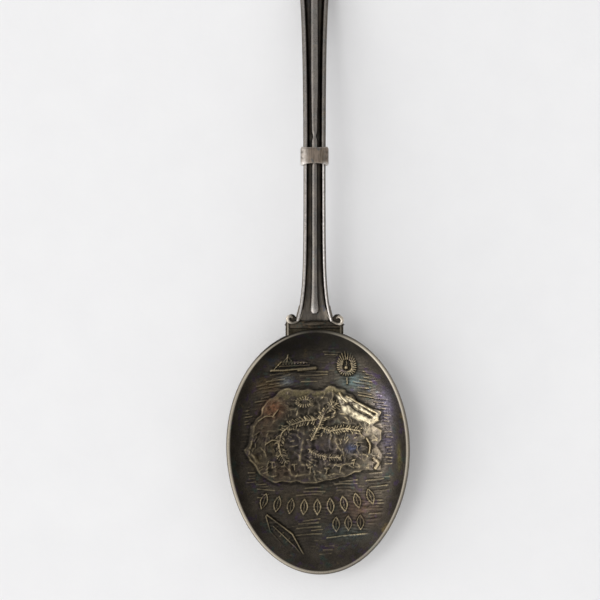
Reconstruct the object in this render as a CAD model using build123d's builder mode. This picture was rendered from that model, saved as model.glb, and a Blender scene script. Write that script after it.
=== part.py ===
from build123d import *

import os
from math import cos, exp, pi, radians, sin, tan

# A silver souvenir spoon: a struck bowl, a scroll yoke, a reeded stem in two lengths under a collar,
# and an oval bezel head that holds a medallion. Millimetres. The spoon lies on its back on Z = 0,
# the bowl open upwards, the tip of the bowl towards -Y and the head towards +Y.

# Overall
total_length = 140.0
bowl_length = 44.5
bowl_width = 33.1

# Bowl
bowl_depth = 8.4  # outside, below the rim plane
bowl_wall = 0.85  # at the belly
rim_width = 0.7  # flat land on top of the wall
rim_round = 0.2  # on the inner edge of the land
dish_power = 2.4  # 2 is a plain parabola, more makes the belly flatter
egg = 0.03  # how much fuller the neck half of the outline is
bowl_tilt = 3.0  # degrees, the neck is higher than the tip
bowl_lean = 1.75  # degrees, the bowl is set slightly off the stem's line
rest_flat = 0.06  # depth worn flat under the belly

# Shoulders and tongue of the bowl
shoulder_width = 10.6
shoulder_thickness = 1.6
shoulder_root = 0.6  # how far the tongue runs back into the shoulders
tongue_width = 3.4
tongue_thickness = 0.6
tongue_height = 0.45  # above the back of the stem
tongue_reach = 2.4  # into the stem

# Scroll yoke
yoke_length = 1.4  # along the spoon
yoke_width = 10.2
yoke_rise = 0.85  # above the rim plane
yoke_lip = 0.4  # below the shoulders
scroll_radius = 0.95
scroll_spread = 4.15  # from the middle to each scroll's centre
scroll_place = 1.8  # from the neck to the scrolls' centres
scroll_depth = 2.1
scroll_eye = 0.3
scroll_groove = 0.25
moulding_width = 0.5  # of the low moulding along the bar's bowl side
moulding_step = 0.35  # how much lower it is than the bar
drop_width = 5.0
drop_thickness = 0.8

# Stem
stem_width = 3.95
edge_reed = 0.66
edge_height = 2.1
field_height = 1.3
back_corner = 0.5
foot_flare = 3.6
foot_flare_length = 3.5
reed_width = 1.2
reed_height = 2.6
reed_stop = 1.3  # bare field between the stem's foot and the round end of its middle reed
upper_reed_width = 1.5
upper_reed_stop = 3.0  # bare field between that reed's round end and the bezel
reed_swell = 0.6  # how much wider a middle reed is at its round end
reed_swell_length = 5.0
foot_drop = 1.67  # back of the stem's foot below the neck of the bowl
foot_slope = 0.16
collar_place = 30.85  # from the neck to the middle of the collar
collar_rise = 0.75  # back of the stem at the collar above the neck of the bowl
collar_slope = -0.03
peg_diameter = 0.9
peg_length = 2.4
peg_height = 1.25

# Collar
collar_length = 3.45
collar_wall = 0.55
collar_corner = 1.0
collar_round = 0.2

# Head
head_length = 23.0
head_width = 18.0
head_height = 2.0
head_flare = 5.3
head_flare_length = 10.0
head_overlap = 2.2  # how far the stem runs into the bezel
bezel_wall = 1.15
bezel_floor = 0.7
medallion_thickness = 0.6
rope_width = 0.8
rope_height = 0.6
emblem_thickness = 0.5
crown_place = (0.8, 2.6)  # of the palm, from the middle of the head
root_place = (-0.9, -6.2)
trunk_width = 0.8
trunk_bow = 0.3
mound_width = 6.8
frond_length = 4.4
frond_droop = 1.0
frond_bow = 1.2
frond_width = 0.9

# Clearances
joint_clearance = 0.03
set_clearance = 0.05

half_width = bowl_width / 2
half_length = bowl_length / 2
neck_y = bowl_length - total_length / 2
head_y = (total_length - head_length) / 2
end_y = head_y - head_length / 2 + head_overlap

# The belly's lowest point lies a little towards the tip, and the height of the rim follows from it.
tilt = radians(bowl_tilt)
lowest = (half_length * tan(tilt) / (bowl_depth * dish_power)) ** (1 / (dish_power - 1))
belly_drop = half_length * sin(tilt) * (1 + lowest) + bowl_depth * (1 - lowest**dish_power) * cos(tilt)
neck_z = belly_drop - rest_flat
rim_plane = Plane(Location((0, neck_y, neck_z), (bowl_tilt, 0, bowl_lean)))
neck_plane = Plane(Location((0, neck_y, neck_z), (bowl_tilt, 0, 0)))


def dish(half_x, half_y, depth):
    """Level sections of a dish that hangs from the rim plane, from its belly to its mouth."""
    sections = []
    for share in (0.12, 0.3, 0.5, 0.7, 0.86, 0.96, 1.0):
        outline = []
        for step in range(24):
            angle = 2 * pi * step / 24
            v = share * sin(angle)
            outline.append((half_x * (1 + egg * v) * share * cos(angle), half_y * v - half_length))
        with BuildSketch(rim_plane.offset(-depth * (1 - share**dish_power))) as section:
            with BuildLine():
                Spline(*outline, periodic=True)
            make_face()
        sections.append(section.sketch)
    return sections


# The back of the stem is one curve in two lengths that meet in the middle of the collar.
foot = Vector(0, neck_y + yoke_length, neck_z - foot_drop)
crest = Vector(0, neck_y + collar_place, neck_z + collar_rise)
lower_spine = Spline(foot, crest, tangents=[(0, 1, foot_slope), (0, 1, collar_slope)])
upper_spine = Spline(crest, (0, end_y, 0), tangents=[(0, 1, collar_slope), (0, 1, 0)])


def across(spine, share):
    """Plane square to a spine, X across the spoon and Y up from its back."""
    return Plane(origin=spine @ share, x_dir=(-1, 0, 0), z_dir=spine % share)


def stem_section(plane, width):
    """Flat back with broken corners, a round reed along each edge and a sunk field between them."""
    side = width / 2
    shoulder = edge_height - edge_reed / 2
    with BuildSketch(plane) as section:
        with BuildLine():
            Polyline(
                (side - edge_reed, shoulder),
                (side - edge_reed, field_height),
                (edge_reed - side, field_height),
                (edge_reed - side, shoulder),
            )
            Polyline(
                (-side, shoulder),
                (-side, back_corner),
                (back_corner - side, 0),
                (side - back_corner, 0),
                (side, back_corner),
                (side, shoulder),
            )
            for left in (-side, side - edge_reed):
                crown = (left + edge_reed / 2, edge_height)
                ThreePointArc((left, shoulder), crown, (left + edge_reed, shoulder))
        make_face()
    return section.sketch


def reed_section(plane, width):
    """The middle reed, from inside the stem up to its round top."""
    side = width / 2
    cheek = reed_height - 0.4 * width
    with BuildSketch(plane) as section:
        with BuildLine():
            Polyline((side, cheek), (side, field_height / 2), (-side, field_height / 2), (-side, cheek))
            ThreePointArc((-side, cheek), (0, reed_height), (side, cheek))
        make_face()
    return section.sketch


def foot_width(y):
    """Width of the lower stem, which flares towards its foot."""
    return stem_width + foot_flare * exp((foot.Y - y) / foot_flare_length)


def head_end_width(y):
    """Width of the upper stem, which flares towards the head."""
    return stem_width + head_flare * exp((y - end_y) / head_flare_length)


def middle_reed(spine, stop, width, shares):
    """A middle reed from its round end, at stop along the spine, through the other shares of it."""
    sections = []
    for share in (stop, *shares):
        distance = abs(share - stop) * spine.length
        swollen = width + reed_swell * exp(-distance / reed_swell_length)
        sections.append(reed_section(across(spine, share), swollen))
    place = across(spine, stop)
    nose = (width + reed_swell) / 2
    inward = 1 if shares[-1] > stop else -1
    with BuildPart() as reed:
        loft(sections=sections)
        with BuildSketch(Plane(origin=place.origin, x_dir=(1, 0, 0), z_dir=place.y_dir)):
            with Locations((0, inward * nose)):
                Circle(nose)
            with Locations((0, inward * (nose + spine.length / 2))):
                Rectangle(4 * nose, spine.length)
        extrude(amount=spine.length, both=True, mode=Mode.INTERSECT)
    return reed.part


def rod(spine, share, diameter, length):
    """The peg between the two lengths of stem, or the bore that takes it."""
    with BuildPart() as bar:
        with BuildSketch(across(spine, share)):
            with Locations((0, peg_height)):
                Circle(diameter / 2)
        extrude(amount=length)
    return bar.part


def tongue_bar(grow):
    """The bowl's tongue, from inside its shoulders into the stem, or the slot that takes it."""
    root = yoke_length + shoulder_root
    with BuildPart() as bar:
        with BuildSketch(across(lower_spine, 0).offset(-root)):
            with Locations((0, tongue_height + tongue_thickness / 2)):
                Rectangle(tongue_width + 2 * grow, tongue_thickness + 2 * grow)
        extrude(amount=root + tongue_reach + grow)
    return bar.part


# Bowl: dish, square shoulders, tongue, hollow, worn foot
with BuildPart() as dish_outside:
    loft(sections=dish(half_width, half_length, bowl_depth))
with BuildPart() as hollow:
    loft(sections=dish(half_width - rim_width, half_length - rim_width, bowl_depth - bowl_wall))

with BuildPart() as bowl:
    add(dish_outside.part)
    with BuildSketch(neck_plane):
        with Locations((0, -shoulder_width / 4)):
            Rectangle(shoulder_width, shoulder_width / 2)
    extrude(amount=-shoulder_thickness)
    add(tongue_bar(0))
    add(hollow.part, mode=Mode.SUBTRACT)
    split(bisect_by=Plane.XY, keep=Keep.TOP)
    land = bowl.faces().sort_by(Axis(rim_plane.origin, rim_plane.z_dir))[-1]
    fillet(land.edges().sort_by(SortBy.LENGTH)[-1], rim_round)
bowl.part.label = "bowl"

# Lower stem: foot with its slot, reeds and the peg that enters the upper stem
with BuildPart() as lower_stem:
    base = []
    for share in (0, 0.04, 0.09, 0.16, 0.26, 0.42, 0.7, 1):
        plane = across(lower_spine, share)
        base.append(stem_section(plane, foot_width(plane.origin.Y)))
    loft(sections=base)
    add(middle_reed(lower_spine, reed_stop / lower_spine.length, reed_width, (0.16, 0.26, 0.42, 0.7, 1)))
    add(rod(lower_spine, 1, peg_diameter, peg_length))
    add(tongue_bar(joint_clearance), mode=Mode.SUBTRACT)
lower_stem.part.label = "lower_stem"

# Scroll yoke: a bar across the neck with a scroll at each end, and a drop under the bowl
with BuildPart() as scroll_yoke:
    with BuildSketch(neck_plane.offset(yoke_rise)):
        with Locations((0, yoke_length / 2)):
            Rectangle(yoke_width, yoke_length)
    extrude(amount=-(yoke_rise + shoulder_thickness + yoke_lip))
    with BuildSketch(neck_plane.offset(yoke_rise)):
        with Locations((0, moulding_width / 2)):
            Rectangle(2 * yoke_width, moulding_width)
    extrude(amount=-moulding_step, mode=Mode.SUBTRACT)
    with BuildSketch(neck_plane.offset(yoke_rise)):
        with Locations((-scroll_spread, scroll_place), (scroll_spread, scroll_place)):
            Circle(scroll_radius)
    extrude(amount=-scroll_depth)
    with BuildSketch(neck_plane.offset(-shoulder_thickness)):
        with Locations((0, -drop_thickness)):
            Rectangle(drop_width, 2 * drop_thickness)
    extrude(amount=-yoke_lip)
    with BuildSketch(neck_plane.offset(yoke_rise)):
        for side in (-1, 1):
            centre = (side * scroll_spread, scroll_place)
            with BuildLine():
                CenterArc(centre, (scroll_radius + scroll_eye) / 2, 270, side * 220)
            trace(line_width=scroll_groove)
            with Locations(centre):
                Circle(scroll_eye)
    extrude(amount=-scroll_groove, mode=Mode.SUBTRACT)
    add(bowl.part, mode=Mode.SUBTRACT)
    add(lower_stem.part, mode=Mode.SUBTRACT)
scroll_yoke.part.label = "scroll_yoke"


def head_plate(bottom, inset, thickness):
    """An oval plate of the head, inset from its outline."""
    with BuildPart() as plate:
        with BuildSketch(Plane.XY.offset(bottom)):
            with Locations((0, head_y)):
                Ellipse(head_width / 2 - inset, head_length / 2 - inset)
        extrude(amount=thickness)
    return plate.part


# Upper stem: reeds, bore for the peg and the oval bezel with its pocket
peg_bore = rod(upper_spine, 0, peg_diameter + 2 * joint_clearance, peg_length + joint_clearance)
with BuildPart() as upper_stem:
    base = []
    for share in (0, 0.25, 0.5, 0.66, 0.78, 0.86, 0.93, 1):
        plane = across(upper_spine, share)
        base.append(stem_section(plane, head_end_width(plane.origin.Y)))
    loft(sections=base)
    bare = upper_reed_stop + head_overlap
    add(middle_reed(upper_spine, 1 - bare / upper_spine.length, upper_reed_width, (0.78, 0.66, 0.5, 0.25, 0)))
    add(head_plate(0, 0, head_height))
    add(head_plate(head_height, 0, reed_height), mode=Mode.SUBTRACT)
    add(head_plate(bezel_floor, bezel_wall, head_height), mode=Mode.SUBTRACT)
    add(peg_bore, mode=Mode.SUBTRACT)
upper_stem.part.label = "upper_stem"

# Collar: a sleeve over the joint of the two lengths of stem
with BuildPart() as collar:
    with BuildSketch(across(lower_spine, 1).offset(-collar_length / 2)):
        with Locations((0, reed_height / 2)):
            RectangleRounded(stem_width + 2 * collar_wall, reed_height + 2 * collar_wall, collar_corner)
    extrude(amount=collar_length)
    fillet(collar.faces().sort_by(Axis.Y)[0].edges(), collar_round)
    fillet(collar.faces().sort_by(Axis.Y)[-1].edges(), collar_round)
    for inside in (lower_stem.part, upper_stem.part, peg_bore):
        add(inside, mode=Mode.SUBTRACT)
collar.part.label = "collar"

# Medallion: an oval plate set in the bezel
with BuildPart() as medallion:
    add(head_plate(bezel_floor, bezel_wall + set_clearance, medallion_thickness))
medallion.part.label = "medallion"

# Rope border: a round-topped ring along the middle of the bezel's wall
rope_inset = (bezel_wall - rope_width) / 2
with BuildPart() as rope_border:
    add(head_plate(head_height, rope_inset, rope_height))
    add(head_plate(head_height, rope_inset + rope_width, rope_height), mode=Mode.SUBTRACT)
    fillet(rope_border.faces().sort_by(Axis.Z)[-1].edges(), rope_width * 0.4)
rope_border.part.label = "rope_border"

# Palm emblem: trunk, crown of fronds and a mound, struck as one piece and set on the medallion
crown = Vector(0, head_y) + Vector(*crown_place)
root = Vector(0, head_y) + Vector(*root_place)
with BuildPart() as palm_emblem:
    with BuildSketch(Plane.XY.offset(bezel_floor + medallion_thickness)):
        with BuildLine():
            ThreePointArc(root, (crown + root) / 2 + Vector(trunk_bow, 0), crown)
        trace(line_width=trunk_width)
        with Locations(root):
            Ellipse(mound_width / 2, trunk_width)
        with Locations(crown):
            Circle(frond_width)
        for bearing in (-40, 5, 50, 95, 135, 175, 215):
            reach = Vector(frond_length, 0).rotate(Axis.Z, bearing) - Vector(0, frond_droop)
            bow = reach.rotate(Axis.Z, 90 if reach.X > 0 else -90).normalized()
            middle = crown + reach / 2
            with BuildLine():
                ThreePointArc(crown, middle + bow * frond_bow, crown + reach)
                ThreePointArc(crown + reach, middle + bow * (frond_bow - frond_width), crown)
            make_face()
    extrude(amount=emblem_thickness)
palm_emblem.part.label = "palm_emblem"

os.makedirs("parts", exist_ok=True)
for piece in (bowl, scroll_yoke, lower_stem, collar, upper_stem, medallion, rope_border, palm_emblem):
    export_step(piece.part, f"parts/{piece.part.label}.step")
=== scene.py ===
# %% [markdown]
# # A silver souvenir spoon, struck and tarnished
#
# The real spoon is a small piece of silver: a bowl with a picture struck into it, a yoke with two
# scrolls, a stem of three round reeds with a collar round it, and an oval head. It has lain in a
# drawer for decades, so the silver has gone brown and black wherever no finger rubs it.
#
# The engineering model gives every size and place. It is loaded first and never changed. Each of
# its pieces is then replaced by a finer one, made the way a silversmith would think of it.

# %% Load the fixed frame
import math

import bpy
import numpy as np
from mathutils import Matrix, Vector


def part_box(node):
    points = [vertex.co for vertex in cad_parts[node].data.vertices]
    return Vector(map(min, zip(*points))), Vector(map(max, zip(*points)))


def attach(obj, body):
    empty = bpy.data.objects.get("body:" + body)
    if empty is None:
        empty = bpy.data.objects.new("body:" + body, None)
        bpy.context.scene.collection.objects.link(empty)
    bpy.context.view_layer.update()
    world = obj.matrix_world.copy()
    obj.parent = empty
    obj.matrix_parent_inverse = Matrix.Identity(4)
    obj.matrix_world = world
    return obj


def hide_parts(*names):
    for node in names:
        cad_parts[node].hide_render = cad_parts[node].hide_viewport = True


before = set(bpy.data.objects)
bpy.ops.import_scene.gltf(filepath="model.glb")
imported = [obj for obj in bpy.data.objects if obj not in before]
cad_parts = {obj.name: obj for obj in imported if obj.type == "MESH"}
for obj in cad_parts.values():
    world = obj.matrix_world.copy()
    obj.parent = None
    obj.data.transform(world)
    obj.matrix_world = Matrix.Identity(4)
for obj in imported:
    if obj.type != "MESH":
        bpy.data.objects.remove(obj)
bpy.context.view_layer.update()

mm = 0.001

# %% [markdown]
# ## Working habits
#
# An operator acts on everything that is selected. So the selection is cleared before each new
# primitive, and each finished piece gets its place baked into its mesh, which leaves the object
# itself at the origin. Both habits are worth a helper, because every piece needs them. Numbers
# that belong to a point, such as how worn the silver is there, are painted on the mesh.

# %% Helpers that every piece uses
def clean_start():
    """Leave edit mode and select nothing."""
    if bpy.context.mode != "OBJECT":
        bpy.ops.object.mode_set(mode="OBJECT")
    bpy.ops.object.select_all(action="DESELECT")


def take(piece):
    """Make one object the selected and active one."""
    clean_start()
    piece.select_set(True)
    bpy.context.view_layer.objects.active = piece
    return piece


def name_piece(name):
    """Name what was just added, and bake its place into its mesh."""
    piece = bpy.context.object
    piece.name = piece.data.name = name
    bpy.ops.object.transform_apply(location=True, rotation=True, scale=True)
    return piece


def points(piece):
    """Every vertex of a piece as rows of x, y, z."""
    flat = np.empty(len(piece.data.vertices) * 3)
    piece.data.vertices.foreach_get("co", flat)
    return flat.reshape(-1, 3)


def set_points(piece, rows):
    piece.data.vertices.foreach_set("co", np.ascontiguousarray(rows, dtype=float).ravel())
    piece.data.update()


def paint(piece, name, values):
    """Keep one number per vertex, for a material to read."""
    layer = piece.data.attributes.get(name) or piece.data.attributes.new(name, "FLOAT", "POINT")
    layer.data.foreach_set("value", np.ascontiguousarray(values, dtype=np.float32))


def paint_film(piece, rows):
    """Keep the colour and strength of a tarnish film per vertex."""
    layer = piece.data.attributes.new("film", "FLOAT_COLOR", "POINT")
    layer.data.foreach_set("color", np.ascontiguousarray(rows, dtype=np.float32).ravel())


def apply_all(piece):
    """Apply the modifiers, first to last."""
    take(piece)
    for modifier in list(piece.modifiers):
        bpy.ops.object.modifier_apply(modifier=modifier.name)


def edit(piece, mode="VERT"):
    """Open a piece in edit mode with nothing selected."""
    take(piece)
    bpy.ops.object.mode_set(mode="EDIT")
    bpy.ops.mesh.select_mode(type=mode)
    bpy.ops.mesh.select_all(action="DESELECT")


def pick(piece, kind, rule):
    """Open a piece in edit mode with the edges or faces selected that a rule takes."""
    edit(piece, kind)
    bpy.ops.object.mode_set(mode="OBJECT")
    for item in piece.data.edges if kind == "EDGE" else piece.data.polygons:
        item.select = rule(item)
    bpy.ops.object.mode_set(mode="EDIT")


def looks_up(face):
    return face.normal.z > 0.9


def runs_along(piece, edge, axis):
    """True for an edge that has a length along an axis, 0 for X and 1 for Y."""
    a, b = (piece.data.vertices[k].co[axis] for k in edge.vertices)
    return abs(a - b) > 1e-6


def soften(piece, width, degrees=30):
    """Round the sharp edges with a bevel of three segments."""
    bevel = piece.modifiers.new("soft edges", "BEVEL")
    bevel.width = width
    bevel.segments = 3
    bevel.limit_method = "ANGLE"
    bevel.angle_limit = math.radians(degrees)


def thicken(piece, thickness, offset):
    """Give a sheet its thickness, on the side that its faces look at (1) or on the other (-1)."""
    sheet = piece.modifiers.new("thickness", "SOLIDIFY")
    sheet.thickness = thickness
    sheet.offset = offset


def outward(piece):
    """Close double points and make every face look outwards."""
    edit(piece)
    bpy.ops.mesh.select_all(action="SELECT")
    bpy.ops.mesh.remove_doubles(threshold=1e-6)
    bpy.ops.mesh.normals_make_consistent(inside=False)
    clean_start()


def smooth(piece, degrees=180):
    take(piece)
    bpy.ops.object.shade_smooth_by_angle(angle=math.radians(degrees))


def report(piece):
    triangles = sum(len(face.vertices) - 2 for face in piece.data.polygons)
    sides = [round(side / mm, 2) for side in piece.dimensions]
    print(f"{piece.name}: {triangles} triangles, {sides} mm")


# %% [markdown]
# ## The bowl: one grid, pressed like sheet silver
#
# A spoon's bowl is sheet silver pressed between two steel dies. The picture inside is part of the
# same press. A picture this fine, with lines a tenth of a millimetre high, is a height map, and the
# simplest honest way to make one is to take a dense grid and move its points, as the die does.
#
# A square grid is bent into a disc first. The disc becomes an egg shape and sinks into a dish:
# `share` is 0 at the middle and 1 at the mouth, and the depth falls off with a power a bit over 2,
# which gives the flat belly and the steep wall of a real spoon.

# %% The dish
half_width, half_length = 16.55 * mm, 22.25 * mm
outside_depth, wall, rim = 8.4 * mm, 0.85 * mm, 0.7 * mm
dish_power, egg = 2.4, 0.03
neck_y, neck_z = -25.5, 9.582
neck = Vector((0, neck_y * mm, neck_z * mm))
bowl_place = (
    Matrix.Translation(neck)
    @ Matrix.Rotation(math.radians(3.0), 4, "X")
    @ Matrix.Rotation(math.radians(1.75), 4, "Z")
    @ Matrix.Translation((0, -half_length, 0))
)


def disc(piece):
    """Directions and shares for a square grid from -1 to 1, bent into a round one."""
    u, v, _ = points(piece).T
    return u * np.sqrt(1 - v * v / 2), v * np.sqrt(1 - u * u / 2)


def dish(u, v, half_x, half_y, depth):
    """Points of a dish in the bowl's own frame, where the mouth lies at height 0."""
    sunk = depth * (1 - np.hypot(u, v) ** dish_power)
    return np.column_stack((half_x * (1 + egg * v) * u, half_y * v, -sunk))


clean_start()
grid_across, grid_along = 230, 300
bpy.ops.mesh.primitive_grid_add(x_subdivisions=grid_across, y_subdivisions=grid_along, size=2)
bowl = name_piece("struck_bowl")
u, v = disc(bowl)
inner_x, inner_y = half_width - rim, half_length - rim
floor = dish(u, v, inner_x, inner_y, outside_depth - wall)
picture_x, picture_y = -0.1, 0.25
X = floor[:, 0] / mm - picture_x
Y = floor[:, 1] / mm - picture_y
share = np.hypot(u, v)
pitch = round(2 * inner_x / mm / grid_across, 2)
print("the bowl's floor has", len(floor), "points, one every", pitch, "mm")

# %% [markdown]
# ## The tools that cut the die
#
# An engraver has few tools: a graver that leaves a round line, a way to fill an outline, and a
# punch. Here they are a few short functions that work on every point of the bowl's floor at once,
# in millimetres. A seeded random generator takes the place of the engraver's hand, so no two
# strokes are quite alike and the result is the same on every run.

# %% Graver, outline and hand
hand = np.random.default_rng(7)
picture = np.zeros(len(X))
ground = np.zeros(len(X))


def ramp(value, low, high):
    """0 below low, 1 above high, and an even curve between."""
    t = np.clip((value - low) / (high - low), 0, 1)
    return t * t * (3 - 2 * t)


def distance(line, closed=False):
    """Distance from every point to a line through the given places."""
    line = list(line) + ([line[0]] if closed else [])
    best = np.full(len(X), 99.0)
    for (ax, ay), (bx, by) in zip(line, line[1:]):
        dx, dy = bx - ax, by - ay
        t = np.clip(((X - ax) * dx + (Y - ay) * dy) / (dx * dx + dy * dy + 1e-12), 0, 1)
        best = np.minimum(best, np.hypot(X - ax - t * dx, Y - ay - t * dy))
    return best


def inside(line):
    """True for the points that an outline holds."""
    held = np.zeros(len(X), bool)
    for (ax, ay), (bx, by) in zip(line, line[1:] + line[:1]):
        crosses = (ay > Y) != (by > Y)
        held ^= crosses & (X < (bx - ax) * (Y - ay) / (by - ay + 1e-12) + ax)
    return held


def cut(line, width, height, closed=False):
    """A round raised line that stands on the ground. Where two lines cross, the higher one stays."""
    global picture
    span = distance(line, closed) / (width / 2)
    raised = height * np.sqrt(np.clip(1 - span * span, 0, 1))
    picture = np.where(raised > 0, np.maximum(picture, ground + raised), picture)


def stroke(x, y, angle, length, width, height):
    """One short raised line, worked out only where it lies."""
    dx, dy = math.cos(angle) * length / 2, math.sin(angle) * length / 2
    near = (abs(X - x) < abs(dx) + width) & (abs(Y - y) < abs(dy) + width)
    along = np.clip(((X[near] - x) * dx + (Y[near] - y) * dy) / (dx * dx + dy * dy), -1, 1)
    span = np.hypot(X[near] - x - along * dx, Y[near] - y - along * dy) / (width / 2)
    raised = height * np.sqrt(np.clip(1 - span * span, 0, 1))
    picture[near] = np.where(raised > 0, np.maximum(picture[near], ground[near] + raised), picture[near])


def wander(cell, seed):
    """Soft random hills from 0 to 1, with about one hill to a cell of this size."""
    lattice = np.random.default_rng(seed).random((180, 180))
    gx, gy = X / cell + 90, Y / cell + 90
    ix, iy = gx.astype(int), gy.astype(int)
    fx, fy = ramp(gx - ix, 0, 1), ramp(gy - iy, 0, 1)
    low = lattice[iy, ix] * (1 - fx) + lattice[iy, ix + 1] * fx
    high = lattice[iy + 1, ix] * (1 - fx) + lattice[iy + 1, ix + 1] * fx
    return low * (1 - fy) + high * fy


# %% [markdown]
# ## The island
#
# The middle of the picture is an island seen from the air. Its land is a raised plate with a rounded coast
# line, rough inland and smooth along the northern beach. A few listed points give the coast; the smaller
# bays come from soft noise added to the distance from that line.

# %% Land and coast
coast = [
    (-13.3, 0.3), (-11.9, 2.4), (-12.1, 4.6), (-10.1, 6.9), (-8.4, 9.3), (-5.2, 11.0),
    (0, 10.7), (3.5, 11.3), (5.3, 10.1), (9.0, 7.7), (11.6, 6.3), (11.5, 4.6),
    (10.4, 3.9), (11.9, 3.0), (10.9, 0.3), (12.0, -2.4), (11.5, -4.3), (8.2, -4.3),
    (4.9, -5.7), (-0.3, -7.0), (-5.2, -6.3), (-8.9, -5.6), (-10.7, -4.5), (-12.6, -1.9),
]
bays = (wander(1.3, 3) - 0.5) * 0.9
shore = np.where(inside(coast), 1, -1) * distance(coast, closed=True) + bays
land = ramp(shore, -0.15, 0.4)
print("the island covers", round(100 * float((land > 0.5).mean())), "% of the grid's points")

ground = 0.2 * land
north = ramp(Y + 0.25 * X, 6.0, 8.5) * (1 - ramp(X, 4.0, 6.0))
beach = north * ramp(shore, 0.1, 0.4) * (1 - ramp(shore + bays, 1.3, 1.5))
coast_line = (0.08 + 0.16 * wander(2.4, 13)) * np.exp(-((shore - 0.12) / 0.16) ** 2) * (1 - 0.6 * beach)
inland = land * ramp(shore, 0.15, 0.8) * (1 - beach)


def folds(cell, seed):
    """Sharp crooked ridges: noise that is folded over where it passes its middle."""
    return 1 - 2 * abs(wander(cell, seed) - 0.5)


hills = 0.2 * folds(2.1, 11) ** 3 + 0.1 * folds(0.95, 12) ** 3 + 0.05 * wander(0.4, 14)
ground += 0.07 * beach + inland * hills
picture = ground + coast_line

# %% [markdown]
# ## Mountains
#
# Old maps draw a mountain chain as a leaf: a crest with short strokes down both flanks. The same
# function cuts every chain, from its crest line and the length of its strokes.

# %% Mountain chains
def chain(crest, flank, pitch=0.4, lean=0.95, height=0.3):
    """A crest line with pairs of strokes that run back from it at a slant."""
    cut(crest, 0.34, height)
    for (ax, ay), (bx, by) in zip(crest, crest[1:]):
        length = math.hypot(bx - ax, by - ay)
        heading = math.atan2(by - ay, bx - ax)
        for step in range(int(length / pitch)):
            t = (step + 0.5) * pitch / length
            for side in (-1, 1):
                angle = heading + side * (lean + hand.uniform(-0.2, 0.2))
                reach = flank * hand.uniform(0.7, 1.15)
                x = ax + (bx - ax) * t + math.cos(angle) * reach / 2
                y = ay + (by - ay) * t + math.sin(angle) * reach / 2
                stroke(x, y, angle, reach, hand.uniform(0.16, 0.24), height * hand.uniform(0.75, 1.0))


chain([(-1.0, 1.2), (0.4, 3.8), (1.6, 6.4), (3.2, 8.2)], 0.8)
chain([(0.7, 4.6), (2.0, 6.9), (4.0, 7.9)], 1.1)
chain([(1.1, 3.4), (2.6, 2.8), (5.0, 3.3), (8.0, 2.8)], 0.9)
chain([(0.0, 5.0), (-2.6, 4.8), (-4.9, 4.1), (-6.4, 2.8), (-7.0, 0.8), (-6.7, -1.2), (-5.6, -2.8)], 1.0)
chain([(-1.6, -0.4), (-0.2, -1.4), (1.8, -2.0), (4.2, -2.1)], 0.7)
for turn in range(18):
    angle = turn * math.tau / 18
    stroke(-2.1 + 1.3 * math.cos(angle), 8.3 + 0.75 * math.sin(angle), angle, 0.55, 0.2, 0.22)
cut([(-9.4, 0.9), (-8.2, 1.6), (-6.9, 1.4)], 0.3, 0.26)
cut([(-10.6, 5.3), (-9.3, 6.1), (-7.9, 6.0), (-6.9, 7.2)], 0.26, 0.2)
for hatch in range(330):
    x, y = hand.uniform(-12.5, 11.5), hand.uniform(-6.8, 10.5)
    nearest = int(np.argmin((X - x) ** 2 + (Y - y) ** 2))
    if inland[nearest] < 0.6:
        continue
    flow = 1.1 * math.sin(x * 0.5) + 0.9 * math.cos(y * 0.6) + hand.uniform(-0.4, 0.4)
    length = hand.uniform(0.4, 1.3)
    stroke(x, y, flow, length, hand.uniform(0.13, 0.22), hand.uniform(0.06, 0.17))
print("highest point of the mountains", round(float(picture.max()), 2), "mm")

# %% [markdown]
# ## The bright plateau
#
# The north-east corner of the island is struck higher and left smooth, with two valleys in it. It
# is the part that a cloth reaches, so it is also the brightest: its outline is kept for the polish.

# %% Plateau and headlands
plateau = [(3.8, 9.4), (5.6, 9.2), (8.6, 7.6), (11.2, 6.2), (11.3, 4.8), (9.8, 4.0), (7.4, 4.9), (5.0, 6.3)]
table = np.where(inside(plateau), 1, -1) * distance(plateau, closed=True)
on_table = ramp(table, -0.3, 0.4) * land
smooth_table = 0.34 + 0.1 * folds(1.7, 41) + 0.05 * folds(0.8, 42)
picture = picture * (1 - on_table) + smooth_table * on_table
valleys = [
    ([(5.6, 8.0), (7.2, 6.6), (9.6, 5.3)], 0.34),
    ([(7.4, 8.1), (9.0, 6.9), (10.4, 5.9)], 0.22),
]
for valley, broad in valleys:
    picture -= 0.26 * np.exp(-((distance(valley) / broad) ** 2)) * land
cut([(4.3, 9.8), (4.8, 8.9), (5.6, 8.2)], 0.6, 0.34)
cut([(5.6, 9.2), (8.4, 7.6), (11.0, 6.1)], 0.5, 0.3)
cut([(9.0, 1.4), (9.6, 0.2), (9.4, -1.1)], 0.55, 0.34)
cut([(10.2, -2.2), (11.0, -2.9), (10.4, -3.9)], 0.8, 0.3)
for x, y in ((-4.3, -3.6), (-1.4, -4.2), (1.6, -4.5), (4.1, -4.2), (6.6, -3.0), (7.3, -0.3), (-8.3, -2.9)):
    stroke(x, y, 1.5 + hand.uniform(-0.2, 0.2), 1.0, 0.2, 0.26)
    stroke(x, y + 0.5, hand.uniform(-0.3, 0.3), 0.8, 0.2, 0.26)

# %% [markdown]
# ## The steamer and the fan
#
# Above the island a steamer crosses the sea, and beside it stands a fan of short ribs with a bead
# in its middle. Each is only a handful of strokes. The steamer's portholes are a row of punch
# marks, and the fan's ribs point away from its bead.

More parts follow.
